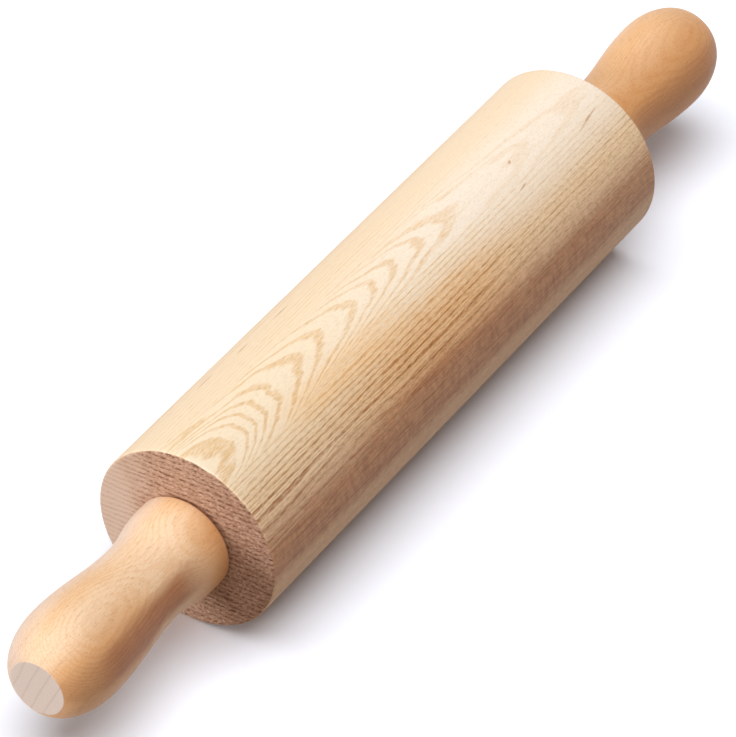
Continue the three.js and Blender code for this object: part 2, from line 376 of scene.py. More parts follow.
# The number of arches that have been passed, by the place along the barrel, and of layers, by height
ARCH_TIPS = (
    (0, 0.6), (8, 0.95), (15, 1.1), (19, 1.5), (23, 2), (29, 3), (35.5, 4), (44.5, 5), (65, 6), (78, 7),
    (96, 8), (109, 9), (121, 10), (138, 11), (153, 12), (203, 13), (228, 14), (250, 14.5), (260, 14.5),
)
LAYERS_BY_HEIGHT = (
    (-45, 10), (0, 32), (8, 37), (13, 39.5), (17.2, 41), (21.1, 42), (24.2, 43), (25.7, 44), (27.2, 45),
    (28.3, 46), (29.4, 47), (30.5, 48), (31.3, 49), (32.1, 50), (33, 51.3), (35, 55), (45, 70),
)

# How far round from the top the arches have their middle line, in degrees, by the place along the barrel
ARCH_MIDDLES = (
    (0, 11.9), (20, 10.5), (45, 7), (65, 4.5), (95, 4), (130, 5), (155, 7.4), (195, 10.5), (250, 11),
)
ARCH_DEPTH = 3.8
ARCH_POINTED = (42, 62)

# Small dark marks in the barrel's wood: distance from its near end, degrees round from its top towards
# the viewer, length, width, and degrees of slant
ASH_MARKS = (
    (43, -36, 12, 0.6, 1), (63, -32.5, 8, 0.7, -1), (86, -32, 12, 0.55, 0), (194, 11, 2.4, 0.7, -20),
    (234, 25.5, 18, 0.6, -9), (188, 27, 7, 0.5, -8),
)
MARK_DEPTH = (30, 33)

# The dark lines, as shares of the way from one line's middle to the next: where a line's edge starts to
# darken, and where it is darkest
ARCH_LINE = (0.25, 0.07)
LAYER_LINE = (0.23, 0.06)
HAIR_LINE = (0.5, 0.14)
HAIR_LINES = 3.0
FIRST_LAYER = 30.0
SAWN_ROW = (0.34, 0.08)
SAWN_ROW_PITCH = 2.1

# Where the barrel's wood changes: the place where a change starts and the place where it is full, and for
# a band also the places where it begins to fade and is gone
RIGHT_ACROSS = (5, -9)
LEFT_ACROSS = (2, 20)
BACK_ACROSS = (10, 30)
BACK_UP = (27, 15)
SIDE_UP = (33.5, 26)
LOW_UP = (27, 17)
PALER_ALONG = (50, 170)
ARCH_THINS_ALONG = (55, 100)
ARCH_FADES_ALONG = (130, 190)
CROWN_NARROWS_ALONG = (30, 110)
FLANK_DROP = (1.6, 3.2)
LAYER_GAP_OPENS_UP = (27, 18)
LAYER_GAP_CLOSES_UP = (16, 10)
LAYERS_END_UP = (13.5, 17)
LAYERS_DARKEN_ALONG = (20, 80)
LAYERS_FADE_ALONG = (120, 190)
RUST_ALONG = (85, 25)
RUST_UP = (28.2, 24.5)
HEART_ALONG = (50, 110)
HEART_LEVEL_AT = 70.0
HEART_SLOPE = 0.0405
HEART_UP = (23, 18)
HEART_FULL_UP = (21, 14)
HEART_LINES_UP = (12, 15)
HEART_FADES_ALONG = (190, 235)
UNDER_UP = (5, -3)
UNDER_LINES_UP = (0, -9)
GOLD_ALONG = (35, 105, 130, 185)
GOLD_UP = (13, 19, 29.5, 33.6)
GOLD_LEGS_ALONG = (25, 55, 80, 120)
GOLD_LEGS_UP = (29.5, 32, 33.6, 34.9)
SAWN_COARSE = (28, 8)
SAWN_SHADE_ACROSS = (8, -28)
SAWN_PALE = (22, 42)

# The ash's noise; a layer or a row of pores takes its own strength by its number
ASH_BROAD = Grain(0.012, 0.05, 0.05, 1.0)
ASH_DRIFT = Grain(0.018, 0.2, 0.2, 1.0)
ASH_RIPPLE = Grain(0.05, 0.3, 0.3)
ASH_BLOTCH = Grain(0.16, 0.6, 0.6)
ASH_FIBRE = Grain(0.05, 1.6, 1.6, 3.0, 0.65)
ASH_DASHES = Grain(0.3, 2.6, 2.6, 2.0, 0.6)
ASH_WEAR = Grain(0.3, 2.4, 2.4)
ASH_SPECKS = Grain(0.7, 2.3, 2.3, 2.0, 0.7)
ASH_MOTTLE = Grain(0.36, 0.12, 0.15, 3.0, 0.65)
ASH_LAYER_STRENGTH = Grain(0.012, 3.7, 1.0, 1.0)
SAWN_WANDER = Grain(0.02, 0.05, 0.16)
SAWN_SPECKLE = Grain(0.3, 0.9, 2.3, 2.0, 0.8)
SAWN_CLOUD = Grain(0.02, 0.07, 0.07)
SAWN_ROW_STRENGTH = Grain(3.7, 0.04, 0.02, 1.0)

ASH_PALE_LEFT = colour(249, 226, 194)
ASH_PALE_NEAR = colour(252, 231, 202)
ASH_PALE_FAR = colour(253, 237, 218)
ASH_PALE_BACK = colour(240, 208, 166)
ASH_PALE_SIDE = colour(253, 223, 184)
ASH_PALE_LOW = colour(232, 194, 158)
ASH_TAN = colour(236, 200, 152)
ASH_BROWN = colour(192, 138, 86)
ASH_RUST = colour(164, 104, 70)
# The heart band's colour: partly heartwood, partly painted shade on the barrel's right side.
ASH_HEART_AND_SHADE = colour(206, 152, 112)
ASH_HEART_MOTTLE = colour(146, 90, 60)
ASH_UNDER = colour(238, 199, 156)
ASH_GOLD_CAST = (1.0, 0.85, 0.68, 1.0)
ASH_PORE = colour(138, 86, 50)
ASH_PIT = colour(178, 122, 66)
ASH_GRIT_CAST = (0.79, 0.75, 0.69, 1.0)
ASH_END_PALE = colour(222, 195, 176)
ASH_END = colour(197, 157, 131)
ASH_END_ROW = colour(164, 118, 94)
# The end grain's darker tone on the viewer's right: partly the wood's own colour, partly painted shade.
ASH_END_DARK_AND_SHADE = colour(131, 84, 60)
ASH_END_PORE = colour(90, 57, 42)
ASH_END_GLINT = colour(226, 190, 166)


def near_whole(count):
    """0 where a count of rings is whole, and 0.5 halfway to the next."""
    return abs((count + 0.5).fraction() - 0.5)


class Ash:
    """The barrel's wood: where a point lies in it, its noise, its zones and its lines."""

    def __init__(self, finish):
        self.finish = finish
        self.x, self.y, self.z = finish.place()
        self.place = self.x + BARREL_END
        reach = BARREL_RADIUS / (self.y ** 2.0 + self.z ** 2.0).sqrt().greatest(INNERMOST)
        side_y = self.y * reach
        side_z = self.z * reach
        self.up = side_z * math.cos(CROWN_LEAN) - side_y * math.sin(CROWN_LEAN)
        self.across = side_y * math.cos(CROWN_LEAN) + side_z * math.sin(CROWN_LEAN)

        where = (self.x, self.across, self.up)
        self.broad = finish.noise(where, ASH_BROAD) - 0.5
        self.drift = finish.noise(where, ASH_DRIFT) - 0.5
        self.ripple = finish.noise(where, ASH_RIPPLE) - 0.5
        self.blotch = finish.noise(where, ASH_BLOTCH)
        self.fibre = finish.noise(where, ASH_FIBRE)
        self.dashes = finish.noise(where, ASH_DASHES)
        self.worn = finish.noise(where, ASH_WEAR).rise(0.34, 0.6)
        self.grit = finish.noise(where, ASH_SPECKS).rise(0.45, 0.68)
        self.mottle = finish.noise(where, ASH_MOTTLE).rise(0.38, 0.68)

        self.right = self.across.rise(*RIGHT_ACROSS)
        self.left = self.across.rise(*LEFT_ACROSS)
        self.back = self.across.rise(*BACK_ACROSS) * self.up.rise(*BACK_UP)
        self.side = self.up.rise(*SIDE_UP) * self.right
        self.low = self.up.rise(*LOW_UP) * self.right
        self.near_rust = self.place.rise(*RUST_ALONG) * self.up.rise(*RUST_UP) * 0.9

        self.layer_line, self.hair_line = self.layer_edges()
        self.grain = self.all_lines()
        self.line_colour = self.tone_of_lines()
        self.pores = self.dashes.rise(0.54, 0.66) * (0.25 + self.grain * 0.75 + self.low * 0.35)
        self.end = (abs(self.x) + self.ripple * 0.6).rise(BARREL_END - 0.5, BARREL_END - 0.25)

    def arch_count(self):
        """How many of the crown's nested arches have been passed, oval near by and pointed further on."""
        turn = self.finish.table(self.place, ARCH_MIDDLES) * math.radians(1) - CROWN_LEAN
        drop = (BARREL_RADIUS - self.up + self.across * turn).greatest(0.0).least(ARCH_DEPTH)
        oval = self.place + drop ** 1.4 * 11.5
        pointed = self.place + drop ** 0.75 * 16.0
        drawn_out = (self.place + drop * 0.4) / (1.0 - drop * 0.225)
        tip = oval + (pointed.greatest(drawn_out) - oval) * oval.rise(*ARCH_POINTED)
        return self.finish.table(tip, ARCH_TIPS)

    def arch_lines(self):
        """The dark lines of the arches, broken by wear and fading towards the far end."""
        arch = near_whole(self.arch_count() + self.broad * 0.8 + self.ripple * 0.8)
        thins = self.place.rise(*ARCH_THINS_ALONG) * 0.2
        fades = self.place.rise(*ARCH_FADES_ALONG) * 0.45
        return arch.rise(*ARCH_LINE) * (self.blotch * 0.75 + self.worn * 0.6) * (1.0 - thins - fades)

    def layer_edges(self):
        """The dark edges of the layers, each of its own strength, and the hair lines between them."""
        layers = self.finish.table(self.up, LAYERS_BY_HEIGHT) + self.drift * 1.1 + self.ripple * 0.2
        gap = 1.0 + self.up.rise(*LAYER_GAP_OPENS_UP) * 1.3 - self.up.rise(*LAYER_GAP_CLOSES_UP) * 1.1
        layer = (self.x, layers.nearest() - FIRST_LAYER, 0.0)
        own = self.finish.noise(layer, ASH_LAYER_STRENGTH).rise(0.3, 0.62)
        edge = near_whole(layers) * gap * (1.0 - self.near_rust * 0.35)
        strong = edge.rise(*LAYER_LINE) * (0.35 + own * 0.65).greatest(self.near_rust)
        hair = (near_whole(layers * HAIR_LINES + 0.5 + self.ripple) * gap).rise(*HAIR_LINE)
        return strong, hair

    def layer_lines(self):
        """The layers' lines as they show, weaker on the left, low on the right and at the far end."""
        lined = self.up.rise(*LAYERS_END_UP).greatest(1.0 - self.right)
        lines = (self.layer_line + self.hair_line * 0.42) * (0.4 + self.worn * 0.6) * lined
        darkens = self.place.rise(*LAYERS_DARKEN_ALONG) * 0.2
        fades = self.place.rise(*LAYERS_FADE_ALONG) * 0.6
        return lines * (0.45 + self.right * 0.55 + self.back * 0.35) * (0.9 + darkens - fades)

    def all_lines(self):
        """Arches on the crown and layers on the flanks."""
        drop = BARREL_RADIUS - self.up + self.ripple * 1.2 + self.place.rise(*CROWN_NARROWS_ALONG) * 1.2
        flank = drop.rise(*FLANK_DROP)
        return self.arch_lines() * (1.0 - flank) + self.layer_lines() * flank

    def tone_of_lines(self):
        """Tan on the crown, brown on the sides, and rust red low down and at the near end."""
        blend = self.finish.blend
        line = blend(self.side.greatest(self.back), ASH_TAN, ASH_BROWN)
        line = blend(self.low * (1.0 - self.place.rise(*HEART_ALONG) * 0.5), line, ASH_RUST)
        return blend(self.near_rust * self.side * 0.8, line, ASH_RUST)

    def pale_wood(self):
        """The wood between the lines."""
        blend = self.finish.blend
        pale = blend(self.place.rise(*PALER_ALONG), ASH_PALE_NEAR, ASH_PALE_FAR)
        pale = blend(self.left, pale, ASH_PALE_LEFT)
        pale = blend(self.back * (0.3 + self.broad.rise(-0.2, 0.25) * 0.7), pale, ASH_PALE_BACK)
        pale = blend(self.side, pale, ASH_PALE_SIDE)
        return blend(self.low, pale, ASH_PALE_LOW)

    def with_heart(self, wood):
        """The brown heart band low on the right, higher and weaker near by, and paler wood under it. The
        band is partly the ash's heartwood and partly painted shade on the side away from the light.
        """
        blend = self.finish.blend
        tilt = (self.place - HEART_LEVEL_AT) * HEART_SLOPE
        edge = self.up + tilt + self.ripple * 3.0 + self.mottle * 1.5
        heart_and_shade = edge.rise(*HEART_UP) * (0.2 + self.place.rise(*HEART_ALONG) * 0.8) * self.right
        heart_and_shade = heart_and_shade.greatest((self.up + self.mottle * 2.0).rise(*HEART_FULL_UP) * self.right)
        heart_and_shade = heart_and_shade * (1.0 - self.layer_line * self.near_rust * self.up.rise(*HEART_LINES_UP))
        streaked = self.mottle * 0.42 + self.fibre.rise(0.42, 0.68) * 0.6
        heart_and_shade_wood = blend(streaked, ASH_HEART_AND_SHADE, ASH_HEART_MOTTLE)
        wood = blend(heart_and_shade * (0.9 - self.place.rise(*HEART_FADES_ALONG) * 0.15), wood, heart_and_shade_wood)
        under = (self.up + self.ripple * 3.0).rise(*UNDER_UP) * self.right
        wood = blend(under * 0.85, wood, ASH_UNDER)
        return blend(self.layer_line * self.up.rise(*UNDER_LINES_UP) * self.right * 0.5, wood, ASH_BROWN)

    def with_gold(self, wood):
        """The golden cast along the middle of the right side and down the arches' legs."""
        gold = self.place.band(*GOLD_ALONG) * self.up.band(*GOLD_UP)
        legs = self.place.band(*GOLD_LEGS_ALONG) * self.up.band(*GOLD_LEGS_UP)
        share = (gold + legs * 0.8) * self.right * (0.65 + self.worn * 0.35)
        return self.finish.tint(share, wood, ASH_GOLD_CAST)

    def with_marks(self, wood):
        """Pores, a few small pits and fine grit."""
        wood = self.finish.blend(self.pores * (0.2 + self.side * 0.4), wood, ASH_PORE)
        for mark in ASH_MARKS:
            wood = self.finish.blend(self.mark(*mark) * (0.35 + self.worn * 0.3), wood, ASH_PIT)
        gritty = self.grit * (0.45 + self.side * 0.45 - self.left * 0.27)
        return self.finish.tint(gritty, wood, ASH_GRIT_CAST)

    def mark(self, middle, turn, length, width, slant):
        """A small dark mark on the barrel, 1 at its middle."""
        turn = math.radians(turn)
        slope = math.tan(math.radians(slant))
        along = self.place - middle
        round_it = self.z * -math.sin(turn) - self.y * math.cos(turn) - along * slope
        inside = (self.z * math.cos(turn) - self.y * math.sin(turn)).rise(*MARK_DEPTH)
        off = ((along / (length / 2)) ** 2.0 + (round_it / width) ** 2.0).sqrt()
        return off.rise(1.0, 0.3) * inside

    def end_grain(self):
        """The sawn ends: broken rows of pores along the rings, coarser on the viewer's right and darker
        there, that darkening partly the wood's own colour and partly painted shade; paler towards the
        viewer's left.
        """
        blend = self.finish.blend
        where = (self.x, self.y, self.z)
        speckle = self.finish.noise(where, SAWN_SPECKLE)
        wander = self.finish.noise(where, SAWN_WANDER) - 0.5
        rings = self.z / SAWN_ROW_PITCH + wander * 1.1
        own = self.finish.noise((rings.nearest(), self.y, self.x), SAWN_ROW_STRENGTH).rise(0.3, 0.65)
        row = near_whole(rings).rise(*SAWN_ROW)
        coarse = self.y.rise(*SAWN_COARSE)
        dim = (self.y + self.z * 0.115).rise(*SAWN_SHADE_ACROSS)
        pale = (self.y + self.finish.noise(where, SAWN_CLOUD) * 24.0).rise(*SAWN_PALE)
        wood = blend(pale, ASH_END, ASH_END_PALE)
        # Darker towards the viewer's right: partly the wood's own colour, partly painted shade.
        wood = blend(dim * (0.35 + row * (0.25 + own * 0.4)), wood, ASH_END_DARK_AND_SHADE)
        wood = blend(row * (0.3 + own * 0.4) * (0.3 + coarse * 0.7), wood, ASH_END_ROW)
        wood = blend(speckle.rise(0.5, 0.36) * (0.15 + coarse * 0.6), wood, ASH_END_GLINT)
        pores = speckle.rise(0.5, 0.62) * (0.22 + row * 0.75) * (0.2 + coarse * 0.8)
        return blend(pores, wood, ASH_END_PORE)


def ash_barrel():
    finish = Finish(bpy.data.materials.new("ash_barrel"))
    ash = Ash(finish)
    wood = finish.blend(ash.grain, ash.pale_wood(), ash.line_colour)
    wood = ash.with_heart(wood)
    streak = ash.fibre.rise(0.5, 0.75) * (0.14 + ash.side * 0.2) * (1.0 - ash.near_rust * 0.5)
    wood = finish.blend(streak, wood, ash.line_colour)
    wood = ash.with_marks(ash.with_gold(wood))
    wood = finish.blend(ash.end, wood, ash.end_grain())
    relief = ash.fibre * 0.5 - ash.pores * 0.6 - ash.end * ash.dashes * 0.6
    return finish.surface(
        base_color=wood,
        roughness=0.52 + ash.grain * 0.1 + ash.end * 0.25,
        normal=finish.bump(relief, 0.2 * MM, 0.3),
        specular_ior_level=0.3,
        ior=WOOD_IOR,
    )


# Beech, for the handles. Places along are from the pin's middle, with the near handle at negative ones.
BEECH_RING = (0.12, 0.02)
BEECH_RING_PITCH = 4.6
BEECH_LOOP = (0.3, 0.08)
BEECH_LOOP_PITCH = 1.05
TIP_ALONG = (HANDLE_END - 26, HANDLE_END - 2)
FLAT_ALONG = (HANDLE_END - 0.08, HANDLE_END - 0.02)
NECK_ALONG = (-176, -158, -142, -126)
NOSE_ALONG = (-155, -195)
COLLAR_ALONG = (-146, -134)
NEAR_ALONG = (60, -60)
FAR_ALONG = (60, 120)
HIGHLIGHT_ALONG = (0, -60)
SHADE_ALONG = (134, 152)
SHADE_FAR_ALONG = (-60, 60)
SHADE_NOSE_ALONG = (-188, -204)

# The turn round a handle, as the share of its radius to the viewer's left or, for a height, upwards
FAR_LEFT = (0.3, -0.7)
WARM_SHADE_LEFT = (-0.2, -0.8)
HIGHLIGHT_LEFT = (0.1, 0.8)
SHADE_LEFT = (-0.7, -0.93)
SHADE_HEIGHT = (-0.28, 0.08)

BEECH_WARP = Grain(0.03, 0.05, 0.05, 1.0)
BEECH_RIPPLE = Grain(0.06, 0.35, 0.35)
BEECH_FIBRE = Grain(0.045, 1.4, 1.4, 3.0, 0.65)
BEECH_DOTS = Grain(0.4, 2.8, 2.8, 1.0)
BEECH_SPECKS = Grain(0.8, 2.2, 2.2, 2.0, 0.7)
BEECH_TONES = Grain(0.022, 0.06, 0.06)
BEECH_END_SPECKS = Grain(0.4, 2.2, 2.2, 2.0, 0.6)

BEECH_PALE = colour(248, 214, 178)
BEECH_TAN = colour(243, 199, 152)
BEECH_ORANGE = colour(228, 168, 112)
BEECH_FAR = colour(222, 158, 98)
# A dark tone laid low on the handles' right: painted shade.
BEECH_PAINTED_SHADE = colour(178, 120, 82)
# A paler tone laid on the near handle's left: a painted highlight.
BEECH_PAINTED_HIGHLIGHT = colour(235, 212, 195)
BEECH_FLECK = colour(178, 112, 64)
BEECH_GRIT_CAST = (0.87, 0.83, 0.77, 1.0)
BEECH_LOOP_CAST = (0.94, 0.85, 0.75, 1.0)
BEECH_END = colour(227, 209, 199)
BEECH_END_LINE = colour(186, 160, 146)


def beech_tones(finish, where, ripple, tone):
    """The handles' broad tones: warm orange on the right, partly the beech's own colour and partly painted
    shade, with a dark band of painted shade low on the right, a painted highlight as paler wood on the
    left, and paler wood at the neck as painted light.
    """
    x, y, z = where
    radius = (y ** 2.0 + z ** 2.0).sqrt().greatest(1.0)
    left = y / radius
    # The neck band makes the wood paler at the neck, with less tan and less orange: painted light.
    neck = x.band(*NECK_ALONG)
    wood = finish.blend(tone.rise(0.36, 0.64) * (1.0 - neck * 0.8), BEECH_PALE, BEECH_TAN)
    wood = finish.blend(x.rise(*FAR_ALONG) * (0.3 + left.rise(*FAR_LEFT) * 0.6), wood, BEECH_FAR)
    # Warm orange on the viewer's right, stronger at the collar and the nose: partly the beech's own colour,
    # partly painted shade.
    warm_and_shade = 0.55 + x.rise(*NOSE_ALONG) * 0.1 - neck * 0.45 + x.rise(*COLLAR_ALONG) * 0.35
    wood = finish.blend(left.rise(*WARM_SHADE_LEFT) * warm_and_shade * x.rise(*NEAR_ALONG), wood, BEECH_ORANGE)
    # A dark band low on the viewer's right of each handle: painted shade.
    streak = (left + ripple * 0.12).rise(*SHADE_LEFT) * (z / radius + ripple * 0.3).rise(*SHADE_HEIGHT)
    streak = streak * abs(x).rise(*SHADE_ALONG)
    streak = streak * (1.0 - x.rise(*SHADE_FAR_ALONG) * 0.45) * (1.0 - x.rise(*SHADE_NOSE_ALONG) * 0.6)
    wood = finish.blend(streak, wood, BEECH_PAINTED_SHADE)
    # Paler wood on the left of the near handle: a painted highlight.
    return finish.blend(left.rise(*HIGHLIGHT_LEFT) * x.rise(*HIGHLIGHT_ALONG) * 0.85, wood, BEECH_PAINTED_HIGHLIGHT)


def beech_handle():
    finish = Finish(bpy.data.materials.new("beech_handle"))
    where = finish.place()
    x, y, z = where
    warp = finish.noise(where, BEECH_WARP) - 0.5
    ripple = finish.noise(where, BEECH_RIPPLE) - 0.5
    tone = finish.noise(where, BEECH_TONES)
    fibre = finish.noise(where, BEECH_FIBRE)
    flecks = finish.noise(where, BEECH_DOTS).rise(0.6, 0.72)
    grit = finish.noise(where, BEECH_SPECKS).rise(0.45, 0.68)
    through = (y * 0.9 + z * 0.436) / BEECH_RING_PITCH
    ring = near_whole(through + 0.3 + warp * 0.6 + ripple * 0.12).rise(*BEECH_RING)
    loops = (z - y * 0.6) / BEECH_LOOP_PITCH
    loop = near_whole(loops + warp * 4.0 + ripple * 0.5).rise(*BEECH_LOOP)

    wood = beech_tones(finish, where, ripple, tone)
    wood = finish.blend(fibre.rise(0.42, 0.8) * 0.35, wood, BEECH_ORANGE)
    wood = finish.tint(loop * (0.2 + tone * 0.6), wood, BEECH_LOOP_CAST)
    wood = finish.blend(ring * abs(x).rise(*TIP_ALONG) * 0.1, wood, BEECH_FLECK)
    wood = finish.blend(flecks * 0.3, wood, BEECH_FLECK)
    wood = finish.tint(grit * 0.6, wood, BEECH_GRIT_CAST)

    end_specks = finish.noise(where, BEECH_END_SPECKS).rise(0.45, 0.8)
    end_wood = finish.blend(ring * 0.25 + end_specks * 0.4, BEECH_END, BEECH_END_LINE)
    end = abs(x).rise(*FLAT_ALONG)
    return finish.surface(
        base_color=finish.blend(end, wood, end_wood),
        roughness=0.46 + flecks * 0.1 + end * 0.3,
        normal=finish.bump(fibre * 0.5 - flecks * 0.4, 0.15 * MM, 0.25),
        specular_ior_level=0.35,
        ior=WOOD_IOR,
    )


# Steel and nylon, for the hardware inside
TURNING_MARKS = Grain(9.0, 9.0, 9.0)
STEEL_SMEAR = Grain(0.6, 0.6, 0.6)
STEEL_DARKER = 0.72
NYLON_CLOUD = Grain(0.8, 0.8, 0.8, 3.0)
NYLON_GRAIN = Grain(7.0, 7.0, 7.0)
NYLON_PALE = colour(236, 230, 214)
NYLON_CLOUDY = colour(222, 214, 194)


def metal(name, tone, roughness, streak):
    """Steel with fine turning marks round the axis."""
    finish = Finish(bpy.data.materials.new(name))
    x, y, z = finish.place()
    radius = (y ** 2.0 + z ** 2.0).sqrt()
    marks = finish.noise((x, radius, 0.0), TURNING_MARKS)
    smear = finish.noise((x, y, z), STEEL_SMEAR)
    darker = tuple(STEEL_DARKER * share for share in tone[:3]) + (1.0,)
    return finish.surface(
        base_color=finish.blend(marks * streak + smear * 0.3, tone, darker),
        roughness=roughness + marks * 0.12 + smear * 0.06,
        metallic=1.0,
        normal=finish.bump(marks, 0.03 * MM, 0.2),
    )


def nylon():
    finish = Finish(bpy.data.materials.new("cage_nylon"))
    where = finish.place()
    cloud = finish.noise(where, NYLON_CLOUD)
    grain = finish.noise(where, NYLON_GRAIN)
    return finish.surface(
        base_color=finish.blend(cloud.rise(0.3, 0.7), NYLON_PALE, NYLON_CLOUDY),
        roughness=0.48 + grain * 0.15,
        normal=finish.bump(grain, 0.04 * MM, 0.2),
        ior=NYLON_IOR,
    )


def arc(centre, radius, start, stop, steps):
    """Points of an outline round a centre, from one angle to another, in degrees."""
    turns = [math.radians(start + (stop - start) * i / steps) for i in range(steps + 1)]
    return [(centre[0] + radius * math.cos(t), centre[1] + radius * math.sin(t)) for t in turns]


def flow(start, pulls, stop, steps):
    """Points of a smooth stretch of outline, drawn towards two pulls between its ends."""
    points = []
    for i in range(steps + 1):
        t = i / steps
        shares = ((1 - t) ** 3, 3 * t * (1 - t) ** 2, 3 * t * t * (1 - t), t ** 3)
        corners = (start, *pulls, stop)
        along = sum(share * corner[0] for share, corner in zip(shares, corners))
        radius = sum(share * corner[1] for share, corner in zip(shares, corners))
        points.append((along, radius))
    return points


def without_doubles(outline):
    """The outline's points, less those that lie on the point before."""
    kept = [outline[0]]
    for point in outline[1:]:
        if math.dist(point, kept[-1]) > SAME_POINT:
            kept.append(point)
    return kept


def other_half(right):
    """The left half of an outline that is the same to both sides, going on from its right half."""
    return [(-along, radius) for along, radius in reversed(right)]


def piece_of(name, shape):
    """A piece from a finished shape, smooth but for its sharp edges."""
    mesh = bpy.data.meshes.new(name)
    bmesh.ops.recalc_face_normals(shape, faces=shape.faces)
    shape.to_mesh(mesh)
    shape.free()
    for face in mesh.polygons:
        face.use_smooth = True
    mesh.set_sharp_from_angle(angle=SHARP_ANGLE)
    piece = bpy.data.objects.new(name, mesh)
    bpy.context.scene.collection.objects.link(piece)
    return piece


def turned(name, outline, sides, closed=False):
    """A piece turned about the pin's axis from (place along it, radius) points in millimetres.
    A closed outline joins back to its first point; an open one starts and ends on the axis."""
    shape = bmesh.new()
    rows = []
    for along, radius in without_doubles(outline):
        count = sides if radius > ON_AXIS else 1
        row = []
        for i in range(count):
            turn = 2 * math.pi * (i + 0.5) / sides
            y = radius * math.sin(turn)
            z = AXIS_HEIGHT - radius * math.cos(turn)
            row.append(shape.verts.new((along * MM, y * MM, z * MM)))
        rows.append(row)
    pairs = list(zip(rows, rows[1:]))
    if closed:
        pairs.append((rows[-1], rows[0]))
    for first, second in pairs:
        for i in range(sides):
            j = (i + 1) % sides
            ring = [first[i % len(first)], first[j % len(first)]]
            ring += [second[j % len(second)], second[i % len(second)]]
            shape.faces.new(list(dict.fromkeys(ring)))
    return piece_of(name, shape)


def dress(piece, material, slot, body, *nodes):
    """Gives a new piece its finish and sets it on its body in place of the solids it stands for."""
    piece.data.materials.append(material)
    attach(piece, body)
    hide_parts(*nodes)


def barrel_outline():
    edge = (BARREL_END - BARREL_EDGE_RADIUS, BARREL_RADIUS - BARREL_EDGE_RADIUS)
    right = [(SEAT_FLOOR, THROUGH_BORE_RADIUS), (SEAT_FLOOR, SEAT_RADIUS), (BARREL_END, SEAT_RADIUS)]
    right += arc(edge, BARREL_EDGE_RADIUS, 0, 90, EDGE_STEPS)
    reach = edge[0]
    rings = [(reach - 2 * reach * i / BARREL_RINGS, BARREL_RADIUS) for i in range(1, BARREL_RINGS)]
    return right + rings + other_half(right)


def pull(start, stop, share, radius):
    """A point that draws a curve out, a share of the way along it and at its own radius."""
    return (start[0] + (stop[0] - start[0]) * share, radius)


def handle_outline():
    shoulder = FLAT_END[1] + (BULB[1] - FLAT_END[1]) * NOSE_SHOULDER
    nose = [pull(FLAT_END, BULB, NOSE_END_PULL, shoulder), pull(FLAT_END, BULB, NOSE_BULB_PULL, BULB[1])]
    waist = [pull(BULB, NECK, WAIST_BULB_PULL, BULB[1]), pull(BULB, NECK, WAIST_NECK_PULL, NECK[1])]
    cove = [pull(NECK, COLLAR_BACK, COVE_NECK_PULL, NECK[1])]
    cove += [pull(NECK, COLLAR_BACK, COVE_COLLAR_PULL, COLLAR_RADIUS)]
    outline = [(FLAT_END[0], 0.0)]
    outline += flow(FLAT_END, nose, BULB, CURVE_STEPS)
    outline += flow(BULB, waist, NECK, CURVE_STEPS)
    outline += flow(NECK, cove, COLLAR_BACK, CURVE_STEPS)
    outline += arc(COLLAR_EDGE, COLLAR_EDGE_RADIUS, 90, 180, EDGE_STEPS)
    outline += [(HANDLE_GAP, AXLE_BORE_RADIUS), (AXLE_BORE_END, AXLE_BORE_RADIUS)]
    outline += [(AXLE_BORE_END + DRILL_TIP, 0.0)]
    return outline


def make_pin():
    barrel = turned("ash_barrel", barrel_outline(), BARREL_SIDES, closed=True)
    dress(barrel, ash_barrel(), "barrel_wood", "barrel", "barrel")
    beech = beech_handle()
    for side, sign in ENDS:
        outline = [(sign * (BARREL_END + along), radius) for along, radius in handle_outline()]
        handle = turned(side + "_beech_handle", outline, HANDLE_SIDES)
        dress(handle, beech, "handle_wood", "axle", side + "_handle")


def sleeve_outline(ends, radii, chamfer):
    """A plain ring with its four edges broken."""
    (start, stop), (inner, outer) = ends, radii
    return [
        (start + chamfer, inner),
        (stop - chamfer, inner),
        (stop, inner + chamfer),
        (stop, outer - chamfer),
        (stop - chamfer, outer),
        (start + chamfer, outer),
        (start, outer - chamfer),
        (start, inner + chamfer),
    ]


def axle_outline():
    groove = SNAP_THICKNESS / 2 + SNAP_PLAY
    floor = AXLE_RADIUS - SNAP_GROOVE_DEPTH
    right = [(AXLE_END, 0.0), (AXLE_END, AXLE_RADIUS - AXLE_CHAMFER)]
    right += [(AXLE_END - AXLE_CHAMFER, AXLE_RADIUS)]
    right += [(SNAP_PLACE + groove, AXLE_RADIUS), (SNAP_PLACE + groove, floor)]
    right += [(SNAP_PLACE - groove, floor), (SNAP_PLACE - groove, AXLE_RADIUS)]
    return right + other_half(right)


def ball_groove(middle):
    """The round groove that the balls run in, about the balls' middle, facing the given way in degrees."""
    mouth = math.degrees(math.acos((GROOVE_RADIUS - GROOVE_DEPTH) / GROOVE_RADIUS))
    return arc((0.0, PITCH_RADIUS), GROOVE_RADIUS, middle + mouth, middle - mouth, GROOVE_STEPS)


def outer_ring_outline():
    right = [(LEDGE_PLACE, OUTER_LAND), (LEDGE_PLACE, LEDGE_RADIUS), (BEARING_HALF, LEDGE_RADIUS)]
    right += [(BEARING_HALF, BEARING_RADIUS - RING_CHAMFER), (BEARING_HALF - RING_CHAMFER, BEARING_RADIUS)]
    return ball_groove(90) + right + other_half(right)


def inner_ring_outline():
    right = [(BEARING_HALF - RING_CHAMFER, PUSHED_RADIUS), (BEARING_HALF, PUSHED_RADIUS + RING_CHAMFER)]
    right += [(BEARING_HALF, INNER_LAND)]
    return right + ball_groove(-90) + other_half(right)


def ball(name, middle):
    shape = bmesh.new()
    bmesh.ops.create_uvsphere(shape, u_segments=BALL_SIDES, v_segments=BALL_RINGS, radius=BALL_RADIUS * MM)
    bmesh.ops.translate(shape, verts=shape.verts, vec=middle)
    return piece_of(name, shape)


